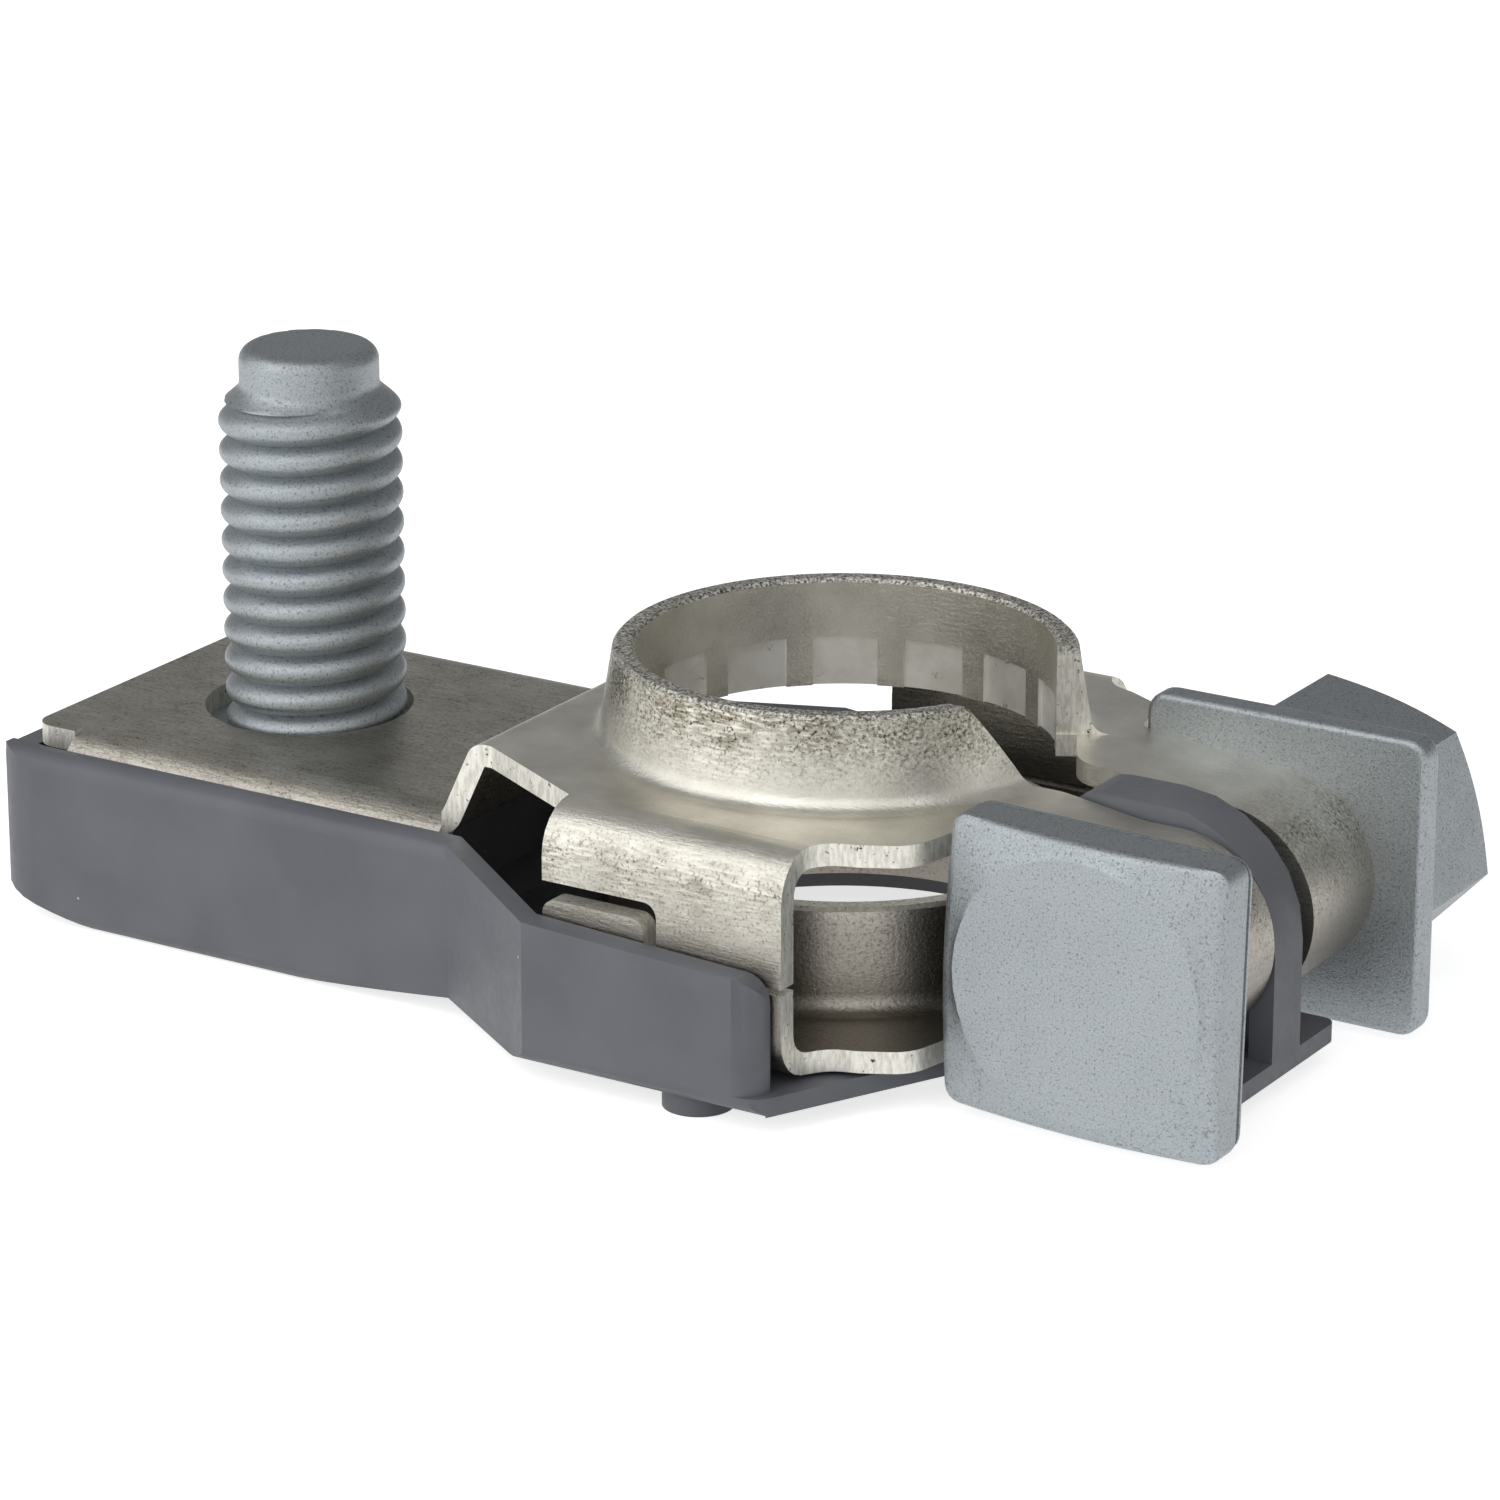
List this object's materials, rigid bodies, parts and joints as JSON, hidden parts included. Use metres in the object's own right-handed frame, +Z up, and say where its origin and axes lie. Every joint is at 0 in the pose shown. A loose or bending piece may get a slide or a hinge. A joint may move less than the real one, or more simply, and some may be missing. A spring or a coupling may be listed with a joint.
{
  "type": "battery terminal clamp",
  "caption": "Folded sheet clamp with a split collar for a battery post, a cross bolt that closes it, an upright threaded stud for a cable lug, and a moulded tray underneath.",
  "frame": {"origin": "on the axis of the battery post's bore, level with the top face of the ring plate", "axes": "+X from the stud towards the clamp bolt, +Y along the clamp bolt from its head towards its nut, +Z up along the post and the stud"},
  "size_m": [0.0446, 0.0259, 0.0182],
  "materials": {
    "plated_sheet": "tin plated, satin, bright on cut edges",
    "coated_fastener": "zinc flake coating, matt and slightly grainy",
    "tray_plastic": "moulded, satin"
  },
  "bodies": {
    "clamp": {"terminal_sheet": "plated_sheet", "clamp_bolt": "coated_fastener", "stud_bolt": "coated_fastener", "support_tray": "tray_plastic"},
    "washer": {"clamp_washer": "coated_fastener"},
    "nut": {"clamp_nut": "coated_fastener"}
  },
  "joints": [
    {"name": "washer_travel", "type": "slide", "parent": "clamp", "child": "washer", "axis": [0, 1, 0], "range_m": [0, 0.0028]},
    {"name": "nut_spin", "type": "hinge", "parent": "washer", "child": "nut", "pos_m": [0.01255, 0.0085, -0.0036], "axis": [0, 1, 0], "range_deg": [0, 1260]}
  ],
  "couplings": [
    {"joint": "nut_spin", "follows": "washer_travel", "rad_per_m": 7853.9}
  ]
}
